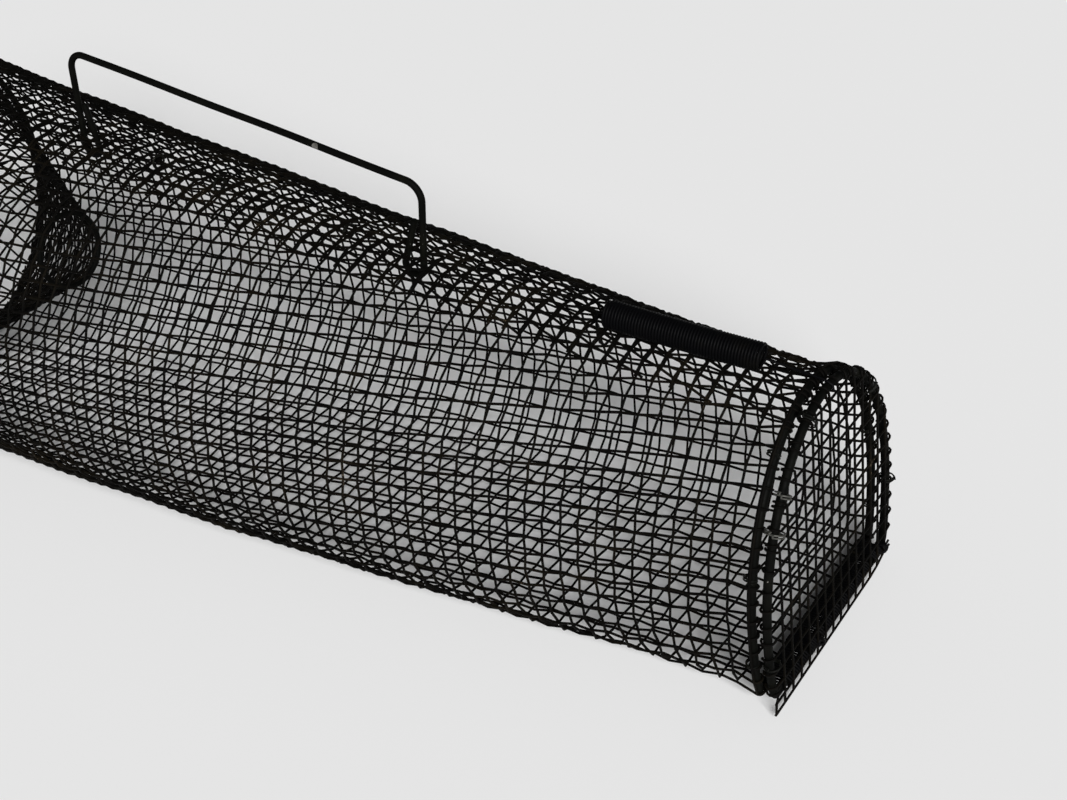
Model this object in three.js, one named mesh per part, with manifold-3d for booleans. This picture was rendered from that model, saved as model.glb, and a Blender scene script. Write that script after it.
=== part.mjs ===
// Minnow trap of black coated wire mesh: a tapering mesh body, flat-bottomed at the door end and round at the
// funnel end, with a wire bail handle, a hinged mesh door held shut by a coil spring, and an inward mesh funnel.
// Millimetres, +Z up, +X along the body towards the door, +Y to the far side. The trap stands on z = 0.
import * as THREE from 'three';
import { mergeGeometries, mergeVertices } from 'three/addons/utils/BufferGeometryUtils.js';
import Module from 'manifold-3d';

const wasm = await Module();
wasm.setup();

// Mesh
const cell = 6.35;
const cellsAlong = 72;
const meshWall = 1.4;
const netBar = 0.95;

// Door end, a flat-bottomed arch, measured along the ring's rod centre
const doorHalfWidth = 47.4;
const doorHeight = 91.3;
const doorFloorInset = 3.9;
const doorShoulder = 28;
const ringSpacing = 5.3;
const endRodRadius = 1.5;
const doorSkirt = 5.5;
const netStub = 1.6;

// Funnel end, round
const mouthRadius = 83;
const mouthHalfFloor = 6;
const mouthRodRadius = 1.6;
const funnelDepth = 115;
const throatRadius = 16;
const throatRodRadius = 1.2;

// How fast the section grows from the door (share 0) to the funnel end (share 1)
const widthGrowthShare = 1.85;
const heightGrowthShare = 1.18;
const floorGrowthShare = 1.6;
const shoulderGrowthShare = 1.8;

// Handle
const handleRodRadius = 1.3;
const handleFootCells = 23;
const handleDoorRise = 29;
const handleMouthRise = 35.5;
const handleBendRadius = 7;
const hookWidth = 8;
const hookDepth = 9.5;
const hookTail = 14;
const hookLean = 4.6;
const slotClearance = 0.5;
const slotHalfWidth = 3.4;

// Door spring, close wound
const springRadius = 4;
const springWire = 0.95;
const springPitch = 1.42;
const springTurns = 38;
const springStart = 15.5;
const springSideStep = 6;
const springLeadIn = 5;
const springHookDrop = 7;
const springHookReturn = 4;

// Hinge wraps round the two bottom rods
const wrapWire = 1;
const wrapPitch = 1.55;
const wrapTurns = 4.5;
const wrapNearInset = 26.5;
const wrapFarInset = 7.5;

// Ties and clips
const tieWire = 0.9;
const tieBodyShares = [0.36, 0.57, 0.82];
const tieDoorNearShares = [0.35, 0.672, 0.745, 0.9];
const tieDoorFarShares = [0.44, 0.76];
const tieTries = 100;
const tieStepShare = 0.002;
const tieLeans = 4;
const tieLeanStep = 0.3;
const mouthClips = 8;
const throatClips = 4;
const seamClips = 9;
const seamEndCells = 5;

// Gaps between neighbours
const gap = 0.3;
const overrun = 2;

// Steps of the faceted surfaces
const bodyStations = 13;
const floorSteps = 2;
const sideSteps = 5;
const archSteps = 8;
const ringSteps = { floor: 2, side: 6, arch: 12 };
const rodSides = 8;
const ringSides = 6;
const tieSteps = 8;
const tieSides = 4;
const curlSteps = 8;
const curlSides = 5;
const wrapSteps = 12;
const mouthSteps = 36;
const throatSteps = 24;
const bendSteps = 6;

// Places along X, from the middle of the body. The whole trap is centred at the end.
const tieRadius = (2 * endRodRadius + meshWall + tieWire) / 2 + gap;
const doorTieRadius = (2 * endRodRadius + gap + netBar + tieWire) / 2 + gap;
const bodyLength = cell * cellsAlong;
const bodyStartX = -bodyLength / 2;
const bodyEndX = bodyLength / 2;
const mouthX = bodyStartX - gap - mouthRodRadius;
const bodyRingX = bodyEndX + gap + endRodRadius;
const doorRingX = bodyRingX + ringSpacing;
const netX = doorRingX + endRodRadius + gap;

// Places across. The floor ends a little inside the side walls, and the hinge wraps stand in from its ends.
const doorHalfFloor = doorHalfWidth - doorFloorInset;
const wrapNearY = wrapNearInset - doorHalfFloor;
const wrapFarY = doorHalfFloor - wrapFarInset;

// Heights. The door's skirt and the mouth ring's flat stand on z = 0.
const hingeZ = doorSkirt + endRodRadius;
const mouthFlat = Math.cos(Math.PI / mouthSteps) * mouthRadius;
const rodFlat = Math.cos(Math.PI / rodSides) * mouthRodRadius;
const mouthCentreZ = Math.cos(Math.PI / mouthSteps) * (mouthRadius + rodFlat);
const mouthFloorZ = mouthCentreZ - mouthRadius;

const black = { color: 0x171716, roughness: 0.5, metalness: 0.25 };
const galvanised = { color: 0x8b8a84, roughness: 0.45, metalness: 0.7 };
const steelBlack = { color: 0x1c1c1e, roughness: 0.4, metalness: 0.5 };

const trap = new THREE.Group();

function addPart(name, geometry, finish) {
  const mesh = new THREE.Mesh(geometry, new THREE.MeshStandardMaterial(finish));
  mesh.name = name;
  trap.add(mesh);
}

function mix(from, to, share) {
  return from + (to - from) * share;
}

// Closed solids as manifolds, and back
function solidOf(geometry) {
  const bare = geometry.clone();
  bare.deleteAttribute('normal');
  bare.deleteAttribute('uv');
  const merged = mergeVertices(bare);
  const vertProperties = new Float32Array(merged.attributes.position.array);
  const triVerts = new Uint32Array(merged.index.array);
  return new wasm.Manifold(new wasm.Mesh({ numProp: 3, vertProperties, triVerts }));
}

function geometryOf(solid) {
  const mesh = solid.getMesh();
  return indexed(Array.from(mesh.vertProperties), Array.from(mesh.triVerts));
}

function indexed(positions, faces) {
  const geometry = new THREE.BufferGeometry();
  geometry.setAttribute('position', new THREE.Float32BufferAttribute(positions, 3));
  geometry.setIndex(faces);
  geometry.computeVertexNormals();
  return geometry;
}

// A rod along a path of points. Its sections stand square to the path and keep clear of twist.
function rod(path, radius, sides, startNormal, { closed = false, turnShare = 0 } = {}) {
  const count = path.length;
  const positions = [];
  const faces = [];
  const normal = startNormal.clone();
  path.forEach((point, i) => {
    const before = closed ? path[(i + count - 1) % count] : path[Math.max(i - 1, 0)];
    const after = closed ? path[(i + 1) % count] : path[Math.min(i + 1, count - 1)];
    const tangent = after.clone().sub(before).normalize();
    normal.addScaledVector(tangent, -normal.dot(tangent)).normalize();
    const side = tangent.clone().cross(normal);
    for (let k = 0; k < sides; k++) {
      const angle = (k + turnShare) / sides * 2 * Math.PI;
      const corner = point.clone().addScaledVector(normal, radius * Math.cos(angle));
      positions.push(...corner.addScaledVector(side, radius * Math.sin(angle)));
    }
  });
  const spans = closed ? count : count - 1;
  for (let i = 0; i < spans; i++) {
    for (let k = 0; k < sides; k++) {
      const here = i * sides;
      const next = ((i + 1) % count) * sides;
      const j = (k + 1) % sides;
      faces.push(here + k, here + j, next + k, here + j, next + j, next + k);
    }
  }
  if (!closed) {
    const last = (count - 1) * sides;
    for (let k = 1; k < sides - 1; k++) {
      faces.push(0, k + 1, k, last, last + k, last + k + 1);
    }
  }
  return indexed(positions, faces);
}

// The least gap that a wire leaves to itself, measured on points, past a stretch that can't meet itself
function leastSelfGap(path, wire, stretch) {
  const curve = new THREE.CurvePath();
  for (let i = 1; i < path.length; i++) curve.add(new THREE.LineCurve3(path[i - 1], path[i]));
  const length = curve.getLength();
  const count = Math.ceil(length / (wire / 2));
  const points = Array.from({ length: count + 1 }, (_, i) => curve.getPointAt(i / count));
  const skip = Math.ceil(stretch / length * count);
  let least = Infinity;
  for (let i = 0; i < points.length; i++) {
    for (let j = i + skip; j < points.length; j++) least = Math.min(least, points[i].distanceTo(points[j]));
  }
  return least - wire;
}

// Half an arch outline as [y, z] points, from the middle of the floor round one side to the top
function halfOutline({ halfWidth, height, halfFloor, shoulder }, steps) {
  const points = [];
  for (let i = 0; i < steps.floor; i++) points.push([halfFloor * i / steps.floor, 0]);
  for (let i = 0; i < steps.side; i++) {
    const angle = i / steps.side * Math.PI / 2;
    const y = halfFloor + (halfWidth - halfFloor) * Math.sin(angle);
    points.push([y, shoulder - shoulder * Math.cos(angle)]);
  }
  for (let i = 0; i <= steps.arch; i++) {
    const angle = i / steps.arch * Math.PI / 2;
    points.push([halfWidth * Math.cos(angle), shoulder + (height - shoulder) * Math.sin(angle)]);
  }
  return points;
}

function fullOutline(size, steps, baseZ) {
  const half = halfOutline(size, steps);
  const mirrored = half.slice(1, -1).reverse().map(([y, z]) => [-y, z]);
  return [...half, ...mirrored].map(([y, z]) => [y, z + baseZ]);
}

// The body's section: share 0 at the door, 1 at the funnel end. An offset grows it outwards all round.
function sectionAt(share, offset) {
  const halfWidth = mix(doorHalfWidth, mouthRadius, 1 - (1 - share) ** widthGrowthShare) + offset;
  const height = mix(doorHeight, 2 * mouthRadius, share ** heightGrowthShare) + 2 * offset;
  const halfFloor = mix(doorHalfFloor, mouthHalfFloor, share ** floorGrowthShare) + offset;
  const shoulder = mix(doorShoulder, mouthRadius, share ** shoulderGrowthShare) + offset;
  return { halfWidth, height, halfFloor, shoulder };
}

function floorAt(share) {
  return mix(hingeZ, mouthFloorZ, share);
}

function shareAt(x) {
  return THREE.MathUtils.clamp((bodyEndX - x) / bodyLength, 0, 1);
}

function ridgeAt(x) {
  const share = shareAt(x);
  return floorAt(share) + sectionAt(share, 0).height;
}

// A thin wall between two stacks of closed outlines that run along +X, open at both ends
function wallBetween(outer, inner) {
  const size = outer[0].length;
  const positions = [...outer, ...inner].flat(2);
  const innerStart = outer.length * size;
  const last = (outer.length - 1) * size;
  const faces = [];
  for (let j = 0; j < size; j++) {
    const k = (j + 1) % size;
    for (let i = 0; i < outer.length - 1; i++) {
      const a = i * size;
      const b = a + size;
      faces.push(a + j, a + k, b + j, a + k, b + k, b + j);
      const c = innerStart + a;
      const d = c + size;
      faces.push(c + j, d + j, c + k, c + k, d + j, d + k);
    }
    faces.push(j, innerStart + j, k, k, innerStart + j, innerStart + k);
    const m = last + innerStart;
    faces.push(last + j, last + k, m + j, last + k, m + k, m + j);
  }
  return indexed(positions, faces);
}

// Small boxes for cuts, each given by its low and high corners
function boxes(corners) {
  return mergeGeometries(corners.map(([low, high]) => {
    const size = high.map((value, axis) => value - low[axis]);
    const box = new THREE.BoxGeometry(...size);
    return box.translate(...low.map((value, axis) => value + size[axis] / 2));
  }));
}

// A round tie in the plane of the X axis and one direction across the rod, as a closed ring of wire
function tie({ centre, across, radius }, wireRadius) {
  const along = new THREE.Vector3(1, 0, 0).cross(across);
  const path = [];
  for (let i = 0; i < tieSteps; i++) {
    const angle = (i + 1 / 2) / tieSteps * 2 * Math.PI;
    const point = centre.clone().addScaledVector(across, radius * Math.sin(angle));
    path.push(point.addScaledVector(new THREE.Vector3(1, 0, 0), radius * Math.cos(angle)));
  }
  return rod(path, wireRadius, tieSides, along, { closed: true, turnShare: 1 / 2 });
}

function addTies(name, places) {
  places.forEach((place, i) => addPart(`${name}_${i + 1}`, tie(place, tieWire / 2), galvanised));
}

// The room that ties need in a wall
function tieRoom(places) {
  return mergeGeometries(places.map((place) => tie(place, tieWire / 2 + gap)));
}

// The place on an end ring at a share of its half outline, with the direction out of the arch
function ringPlace(share, sideSign) {
  const half = halfOutline(sectionAt(0, 0), ringSteps)
    .map(([y, z]) => new THREE.Vector3(0, sideSign * y, z + hingeZ));
  const path = new THREE.CurvePath();
  for (let i = 1; i < half.length; i++) path.add(new THREE.LineCurve3(half[i - 1], half[i]));
  const tangent = path.getTangentAt(share);
  const outward = tangent.clone().cross(new THREE.Vector3(sideSign, 0, 0));
  return { point: path.getPointAt(share), outward };
}

// End rings
const endOutline = fullOutline(sectionAt(0, 0), ringSteps, hingeZ);

function endRing(x) {
  const path = endOutline.map(([y, z]) => new THREE.Vector3(x, y, z));
  return rod(path, endRodRadius, ringSides, new THREE.Vector3(1, 0, 0), { closed: true });
}

addPart('body_end_ring', endRing(bodyRingX), black);
addPart('door_ring', endRing(doorRingX), black);

function circlePath(x, radius, centreZ, steps) {
  return Array.from({ length: steps }, (_, i) => {
    const angle = (i + 1 / 2) / steps * 2 * Math.PI - Math.PI / 2;
    return new THREE.Vector3(x, radius * Math.cos(angle), centreZ + radius * Math.sin(angle));
  });
}

const throatX = mouthX + funnelDepth;
addPart('mouth_ring', rod(circlePath(mouthX, mouthRadius, mouthCentreZ, mouthSteps), mouthRodRadius, rodSides,
  new THREE.Vector3(1, 0, 0), { closed: true, turnShare: 1 / 2 }), black);
const throatRingX = throatX + gap + throatRodRadius;
addPart('throat_ring', rod(circlePath(throatRingX, throatRadius, mouthCentreZ, throatSteps), throatRodRadius,
  ringSides, new THREE.Vector3(1, 0, 0), { closed: true }), black);

// Ties on the two end rings
const bodyTies = [1, -1].flatMap((sign) => tieBodyShares.map((share) => {
  const { point, outward } = ringPlace(share, sign);
  return { centre: point.setX(bodyRingX - (meshWall / 2)), across: outward, radius: tieRadius };
}));
addTies('body_ring_tie', bodyTies);

// The door's net: its bars stand half a cell either side of the middle, the lowest at the skirt's edge
const netCentreX = netX + netBar / 2;

// How much room a tie's wire has beside the nearest bar, at a point of the net
function roomByBars(point) {
  const acrossShare = point.y / cell - 1 / 2;
  const upShare = (point.z - netBar / 2) / cell;
  const off = (share) => Math.abs(share - Math.round(share)) * cell;
  return Math.min(off(acrossShare), off(upShare)) - (netBar + tieWire) / 2;
}

// How much room a tie has along the rod beside the ties of the other ring that it could meet
function roomByTies(point, outward) {
  const along = new THREE.Vector3(1, 0, 0).cross(outward);
  const ways = bodyTies.map(({ centre }) => centre.clone().sub(point).setX(0));
  const near = ways.filter((way) => way.length() < 2 * doorTieRadius);
  return Math.min(...near.map((way) => Math.abs(way.dot(along)))) - tieWire;
}

// A tie sits at the first spot from its share onwards where its wire passes through open cells, or else at the
// spot with the most room. Where the rod lies askew to the bars, the tie leans to one side and is that much wider.
function doorTie(share, sign) {
  const centreX = doorRingX + (gap + netBar) / 2;
  let best = { room: -Infinity };
  for (let i = 0; i < tieTries && best.room < gap; i++) {
    const { point, outward } = ringPlace(share + i * tieStepShare, sign);
    point.setX(centreX);
    for (let lean = -tieLeans; lean <= tieLeans && best.room < gap; lean++) {
      const shift = lean * tieLeanStep;
      const radius = doorTieRadius + Math.abs(shift);
      const centre = point.clone().addScaledVector(outward, shift);
      const reaches = [netX, netCentreX, netX + netBar].map((x) => Math.sqrt(radius ** 2 - (x - centreX) ** 2));
      const room = Math.min(roomByTies(centre, outward), ...reaches.flatMap((reach) => [-1, 1].map((way) =>
        roomByBars(centre.clone().addScaledVector(outward, way * reach)))));
      if (room > best.room) best = { centre, across: outward, radius, room };
    }
  }
  return best;
}

const doorTies = [
  ...tieDoorNearShares.map((share) => doorTie(share, -1)),
  ...tieDoorFarShares.map((share) => doorTie(share, 1)),
];
addTies('door_ring_tie', doorTies);

function doorNet() {
  const reach = endRodRadius + netStub;
  const outline = halfOutline(sectionAt(0, reach), ringSteps).map(([y, z]) => [y, z + hingeZ - reach]);
  const corner = [outline[floorSteps][0], 0];
  const right = [corner, ...outline.slice(floorSteps)];
  const left = right.slice(0, -1).reverse().map(([y, z]) => [-y, z]);
  const shape = new THREE.Shape([...right, ...left].map(([y, z]) => new THREE.Vector2(y, z)));
  const plate = new THREE.ExtrudeGeometry(shape, { depth: netBar, bevelEnabled: false });
  const turned = new THREE.Matrix4().makeBasis(new THREE.Vector3(0, 1, 0), new THREE.Vector3(0, 0, 1),
    new THREE.Vector3(1, 0, 0));
  plate.applyMatrix4(turned).translate(netX, 0, 0);
  const columns = Math.ceil((doorHalfWidth + reach) / cell);
  const rows = Math.ceil((hingeZ + doorHeight + reach) / cell);
  const holes = [];
  for (let column = -columns; column <= columns; column++) {
    for (let row = 0; row <= rows; row++) {
      const lowY = (column - 1 / 2) * cell + netBar / 2;
      const lowZ = row * cell + netBar;
      const opening = cell - netBar;
      holes.push([[netX - overrun, lowY, lowZ], [netX + netBar + overrun, lowY + opening, lowZ + opening]]);
    }
  }
  const wrapHalf = wrapTurns * wrapPitch / 2 + wrapWire / 2 + 2 * gap;
  const wrapReach = endRodRadius + wrapWire + 3 * gap;
  const windows = [wrapNearY, wrapFarY].map((y) =>
    [[netX - overrun, y - wrapHalf, netBar], [netX + netBar + overrun, y + wrapHalf, hingeZ + wrapReach]]);
  return geometryOf(solidOf(plate).subtract(solidOf(boxes(holes))).subtract(solidOf(boxes(windows))));
}
addPart('door_mesh', doorNet(), black);

// Hinge wraps: wire wound round both bottom rods in long turns
function hingeWrap(y) {
  const radius = endRodRadius + gap + wrapWire / 2;
  const steps = wrapTurns * wrapSteps;
  const path = [];
  for (let i = 0; i <= steps; i++) {
    const angle = (i + 1 / 2) / wrapSteps * 2 * Math.PI;
    const centreX = Math.cos(angle) > 0 ? doorRingX : bodyRingX;
    const alongY = y + (i / steps - 1 / 2) * wrapTurns * wrapPitch;
    path.push(new THREE.Vector3(centreX + radius * Math.cos(angle), alongY, hingeZ + radius * Math.sin(angle)));
  }
  const first = path[0].clone().sub(new THREE.Vector3(0, 0, wrapWire));
  const last = path[path.length - 1].clone().sub(new THREE.Vector3(0, 0, wrapWire));
  path.unshift(first);
  path.push(last);
  const turnLength = 2 * Math.PI * radius;
  console.log('hinge wrap least gap to itself', leastSelfGap(path, wrapWire, turnLength / 2).toFixed(3));
  return rod(path, wrapWire / 2, curlSides, new THREE.Vector3(0, 1, 0));
}
addPart('hinge_wrap_near', hingeWrap(wrapNearY), steelBlack);
addPart('hinge_wrap_far', hingeWrap(wrapFarY), steelBlack);

// Door spring: hooked into the mesh at its left end and over the door ring's top at its right end
const springCore = springRadius - springWire / 2;
const coilLength = springTurns * springPitch;
const coilRightX = bodyRingX - springStart;
const coilLeftX = coilRightX - coilLength;
const springLift = meshWall / 2 + gap + springRadius;
const coilRight = new THREE.Vector3(coilRightX, 0, ridgeAt(coilRightX) + springLift);
const coilLeft = new THREE.Vector3(coilLeftX, -springSideStep, ridgeAt(coilLeftX) + springLift);
const anchorX = coilLeftX - springLeadIn;
const doorTopZ = hingeZ + doorHeight;
const springBend = 2 * springWire;

function springPath() {
  const axis = coilRight.clone().sub(coilLeft).normalize();
  const across = new THREE.Vector3(0, 1, 0).addScaledVector(axis, -axis.y).normalize();
  const up = axis.clone().cross(across);
  const path = [];
  const anchorTop = new THREE.Vector3(anchorX, coilLeft.y, coilLeft.z);
  const below = anchorTop.clone().setZ(ridgeAt(anchorX) - springHookDrop);
  path.push(below.clone().add(new THREE.Vector3(springHookReturn, 0, springBend)));
  path.push(below.clone().add(new THREE.Vector3(springBend, 0, 0)));
  path.push(below.clone().add(new THREE.Vector3(0, 0, springBend)));
  path.push(anchorTop.clone().sub(new THREE.Vector3(0, 0, springBend)));
  path.push(anchorTop.clone().add(new THREE.Vector3(springBend, 0, 0)));
  path.push(coilLeft.clone().addScaledVector(axis, -springBend));
  const steps = springTurns * curlSteps;
  for (let i = 0; i <= steps; i++) {
    const angle = i / curlSteps * 2 * Math.PI;
    const centre = coilLeft.clone().lerp(coilRight, i / steps);
    centre.addScaledVector(up, springCore * Math.cos(angle));
    path.push(centre.addScaledVector(across, springCore * Math.sin(angle)));
  }
  path.push(coilRight.clone().addScaledVector(axis, springBend));
  const overRing = doorTopZ + endRodRadius + gap + springWire;
  const hookX = doorRingX + endRodRadius + gap + springWire / 2;
  path.push(new THREE.Vector3(doorRingX - springBend, 0, overRing));
  path.push(new THREE.Vector3(doorRingX, 0, overRing - springWire / 2 + gap / 2));
  path.push(new THREE.Vector3(hookX, 0, doorTopZ + endRodRadius / 2));
  path.push(new THREE.Vector3(hookX, 0, doorTopZ - endRodRadius / 2));
  return path;
}
const springRoute = springPath();
console.log('door spring least gap to itself',
  leastSelfGap(springRoute, springWire, Math.PI * springCore).toFixed(3));
addPart('door_spring', rod(springRoute, springWire / 2, curlSides, new THREE.Vector3(0, 1, 0)), steelBlack);

// Handle: a bail whose two J hooks pass through the mesh at the ridge
const footDoorX = bodyEndX - handleFootCells * cell;
const footMouthX = bodyStartX + handleFootCells * cell;
const footDoor = new THREE.Vector3(footDoorX, 0, ridgeAt(footDoorX));
const footMouth = new THREE.Vector3(footMouthX, 0, ridgeAt(footMouthX));
const ridgeWay = footMouth.clone().sub(footDoor).normalize();
const handleUp = new THREE.Vector3(ridgeWay.z, 0, -ridgeWay.x);

function arcPoints(centre, from, to, startAngle, endAngle, radius, steps) {
  return Array.from({ length: steps + 1 }, (_, i) => {
    const angle = mix(startAngle, endAngle, i / steps);
    const point = centre.clone().addScaledVector(from, radius * Math.cos(angle));
    return point.addScaledVector(to, radius * Math.sin(angle));
  });
}

// One end of the bail, from the tip of its tail to the start of the grip. inward points along the ridge. The grip
// stands higher over the ridge at its mouth end.
function bailEnd(foot, inward, rise) {
  const at = (along, up) => foot.clone().addScaledVector(inward, along).addScaledVector(handleUp, up);
  const hookRadius = hookWidth / 2;
  const hookCentre = at(hookRadius, hookRadius + handleRodRadius - hookDepth);
  const tail = [at(hookWidth - hookLean, hookTail)];
  const hook = arcPoints(hookCentre, inward, handleUp, 0, -Math.PI, hookRadius, bendSteps);
  const bendCentre = at(handleBendRadius, rise - handleBendRadius);
  const bend = arcPoints(bendCentre, inward, handleUp, Math.PI, Math.PI / 2, handleBendRadius, bendSteps);
  return [...tail, ...hook, ...bend];
}
const bailPath = [
  ...bailEnd(footDoor, ridgeWay, handleDoorRise),
  ...bailEnd(footMouth, ridgeWay.clone().negate(), handleMouthRise).reverse(),
];
addPart('carry_handle', rod(bailPath, handleRodRadius, rodSides, new THREE.Vector3(0, 1, 0)), black);

// Cells that the handle's hooks and the spring's hook pass through
function ridgeCuts() {
  const cuts = [];
  const legHalf = handleRodRadius + slotClearance;
  const tailAt = hookWidth - hookLean * hookDepth / (hookTail + hookDepth) / 2;
  [[footDoor, -1], [footMouth, 1]].forEach(([foot, way]) => {
    [0, tailAt].forEach((along) => {
      const x = foot.x + way * along;
      const half = along > 0 ? legHalf + slotClearance : legHalf;
      cuts.push([
        [x - half, -slotHalfWidth, foot.z - 2 * overrun],
        [x + half, slotHalfWidth, foot.z + 2 * overrun],
      ]);
    });
  });
  const hookHalf = springWire / 2 + gap;
  cuts.push([
    [anchorX - hookHalf, coilLeft.y - hookHalf, ridgeAt(anchorX) - 2 * overrun],
    [anchorX + hookHalf, coilLeft.y + hookHalf, ridgeAt(anchorX) + 2 * overrun],
  ]);
  const wrapHalf = wrapTurns * wrapPitch / 2 + wrapWire / 2 + 2 * gap;
  const wrapReach = endRodRadius + wrapWire + 2 * gap;
  [wrapNearY, wrapFarY].forEach((y) => cuts.push(
    [[bodyRingX - wrapReach, y - wrapHalf, hingeZ - overrun], [bodyEndX + overrun, y + wrapHalf, hingeZ + overrun]]));
  return cuts;
}

// Clips at the mouth bind the ring, the body's edge and the funnel's rim. Clips along the ridge close the seam.
const mouthClipRadius = tieRadius + meshWall;
const mouthClipPlaces = Array.from({ length: mouthClips }, (_, i) => {
  const angle = (i + 1 / 2) / mouthClips * 2 * Math.PI;
  const across = new THREE.Vector3(0, Math.cos(angle), Math.sin(angle));
  const centre = new THREE.Vector3(mouthX + meshWall, 0, mouthCentreZ)
    .addScaledVector(across, mouthRadius - meshWall);
  return { centre, across, radius: mouthClipRadius };
});
addTies('mouth_clip', mouthClipPlaces);

const seamRadius = cell / 2;
const seamPlaces = Array.from({ length: seamClips }, (_, i) => {
  const share = (i + 1) / (seamClips + 1);
  const x = mix(bodyEndX - coilLength - 2 * seamEndCells * cell, bodyStartX + seamEndCells * cell, share);
  return new THREE.Vector3(x, 0, ridgeAt(x));
}).filter((point) => [footDoorX, footMouthX].every((x) => Math.abs(point.x - x) > 3 * hookWidth));

function seamClip(point, extra = 0) {
  const path = arcPoints(point, new THREE.Vector3(0, 1, 0), new THREE.Vector3(0, 0, 1), 0,
    2 * Math.PI * (1 - 1 / tieSteps), seamRadius, tieSteps - 1);
  return rod(path, tieWire / 2 + extra, tieSides, new THREE.Vector3(1, 0, 0), { closed: true, turnShare: 1 / 2 });
}
seamPlaces.forEach((point, i) => addPart(`seam_clip_${i + 1}`, seamClip(point), galvanised));

// Body: the rolled mesh as a thin wall with its true outer shape, open at both ends
function bodyWall() {
  const stack = (offset) => Array.from({ length: bodyStations }, (_, i) => {
    const x = mix(bodyStartX, bodyEndX, i / (bodyStations - 1));
    const share = shareAt(x);
    const steps = { floor: floorSteps, side: sideSteps, arch: archSteps };
    return fullOutline(sectionAt(share, offset), steps, floorAt(share) - offset).map(([y, z]) => [x, y, z]);
  });
  const wall = solidOf(wallBetween(stack(meshWall / 2), stack(-meshWall / 2)));
  const seam = mergeGeometries(seamPlaces.map((point) => seamClip(point, gap)));
  const cuts = [boxes(ridgeCuts()), tieRoom(bodyTies), tieRoom(mouthClipPlaces), seam];
  return geometryOf(cuts.reduce((solid, cut) => solid.subtract(solidOf(cut)), wall));
}
addPart('body_mesh', bodyWall(), black);

const throatPlaces = Array.from({ length: throatClips }, (_, i) => {
  const angle = (i + 1 / 2) / throatClips * 2 * Math.PI;
  const across = new THREE.Vector3(0, Math.cos(angle), Math.sin(angle));
  const middleX = throatX + throatRodRadius + (gap - meshWall) / 2;
  const centre = new THREE.Vector3(middleX, 0, mouthCentreZ).addScaledVector(across, throatRadius);
  return { centre, across, radius: throatRodRadius + (gap + meshWall + tieWire) / 2 + gap };
});

// Funnel: a cone of the same mesh from inside the mouth ring to the throat ring
function funnelWall() {
  const rimRadius = mouthFlat - mouthRodRadius - gap - meshWall / 2;
  const ends = [[mouthX, rimRadius], [throatX, throatRadius]];
  const stack = (offset) => ends.map(([x, radius]) => circlePath(x, radius + offset, mouthCentreZ, throatSteps)
    .map((point) => point.toArray()));
  const wall = solidOf(wallBetween(stack(meshWall / 2), stack(-meshWall / 2)));
  return geometryOf(wall.subtract(solidOf(tieRoom(mouthClipPlaces))).subtract(solidOf(tieRoom(throatPlaces))));
}
addPart('funnel_mesh', funnelWall(), black);
addTies('throat_clip', throatPlaces);

// The origin lies under the middle of the trap's box, on the surface that it stands on
const box = new THREE.Box3().setFromObject(trap, true);
const middle = box.getCenter(new THREE.Vector3());
trap.position.set(-middle.x, -middle.y, -box.min.z);
trap.updateMatrixWorld(true);

export default trap;
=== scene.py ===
import math
import random

import bmesh
import bpy
from mathutils import Euler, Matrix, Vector, noise


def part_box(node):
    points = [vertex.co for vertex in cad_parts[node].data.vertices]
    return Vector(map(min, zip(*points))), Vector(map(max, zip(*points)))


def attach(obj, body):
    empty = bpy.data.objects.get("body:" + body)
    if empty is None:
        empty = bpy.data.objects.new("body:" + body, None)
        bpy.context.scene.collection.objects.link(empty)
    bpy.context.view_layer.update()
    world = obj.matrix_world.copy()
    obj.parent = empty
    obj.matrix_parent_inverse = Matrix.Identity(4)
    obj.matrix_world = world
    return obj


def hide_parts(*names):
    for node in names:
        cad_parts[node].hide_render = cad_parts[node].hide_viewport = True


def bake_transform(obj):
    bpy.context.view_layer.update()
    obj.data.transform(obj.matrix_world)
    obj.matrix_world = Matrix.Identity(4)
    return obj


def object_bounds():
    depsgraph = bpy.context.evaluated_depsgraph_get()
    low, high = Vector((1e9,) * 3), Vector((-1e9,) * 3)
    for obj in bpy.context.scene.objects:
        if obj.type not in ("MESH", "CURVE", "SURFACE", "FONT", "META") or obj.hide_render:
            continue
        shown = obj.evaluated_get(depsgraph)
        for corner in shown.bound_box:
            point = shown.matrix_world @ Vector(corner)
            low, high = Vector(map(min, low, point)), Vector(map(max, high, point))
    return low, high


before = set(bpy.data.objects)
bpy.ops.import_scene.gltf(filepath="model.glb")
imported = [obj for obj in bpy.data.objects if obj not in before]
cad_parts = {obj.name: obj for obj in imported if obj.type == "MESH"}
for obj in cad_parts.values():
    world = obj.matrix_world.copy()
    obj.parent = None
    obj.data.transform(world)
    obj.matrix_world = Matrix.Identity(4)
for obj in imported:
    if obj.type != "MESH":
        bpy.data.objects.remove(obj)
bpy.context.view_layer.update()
print("frame loaded:", len(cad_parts), "nodes")

mm = 0.001      # pieces are drawn in millimetres and scaled when they are finished
seed = 41
rng = random.Random(seed)
noise.seed_set(seed)      # without it the drift of the mesh would change from run to run


# Camera, taken from the photograph's angle

cameraSetup = {
    "place": (403.92, -377.71, 360.80),     # mm
    "turn": (57.803, 6.669, 32.873),        # degrees, XYZ
    "lens": 52.54,
    "sensor": 36.0,
}
cameraData = bpy.data.cameras.new("photoCamera")
cameraData.lens = cameraSetup["lens"]
cameraData.sensor_width = cameraSetup["sensor"]
cameraData.clip_start = 0.02
cameraData.clip_end = 60
camera = bpy.data.objects.new("photoCamera", cameraData)
camera.location = Vector(cameraSetup["place"]) * mm
camera.rotation_euler = Euler([math.radians(a) for a in cameraSetup["turn"]], "XYZ")
bpy.context.scene.collection.objects.link(camera)
bpy.context.scene.camera = camera


# Node group: a coat that is mottled, dusty and chipped in places

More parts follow.
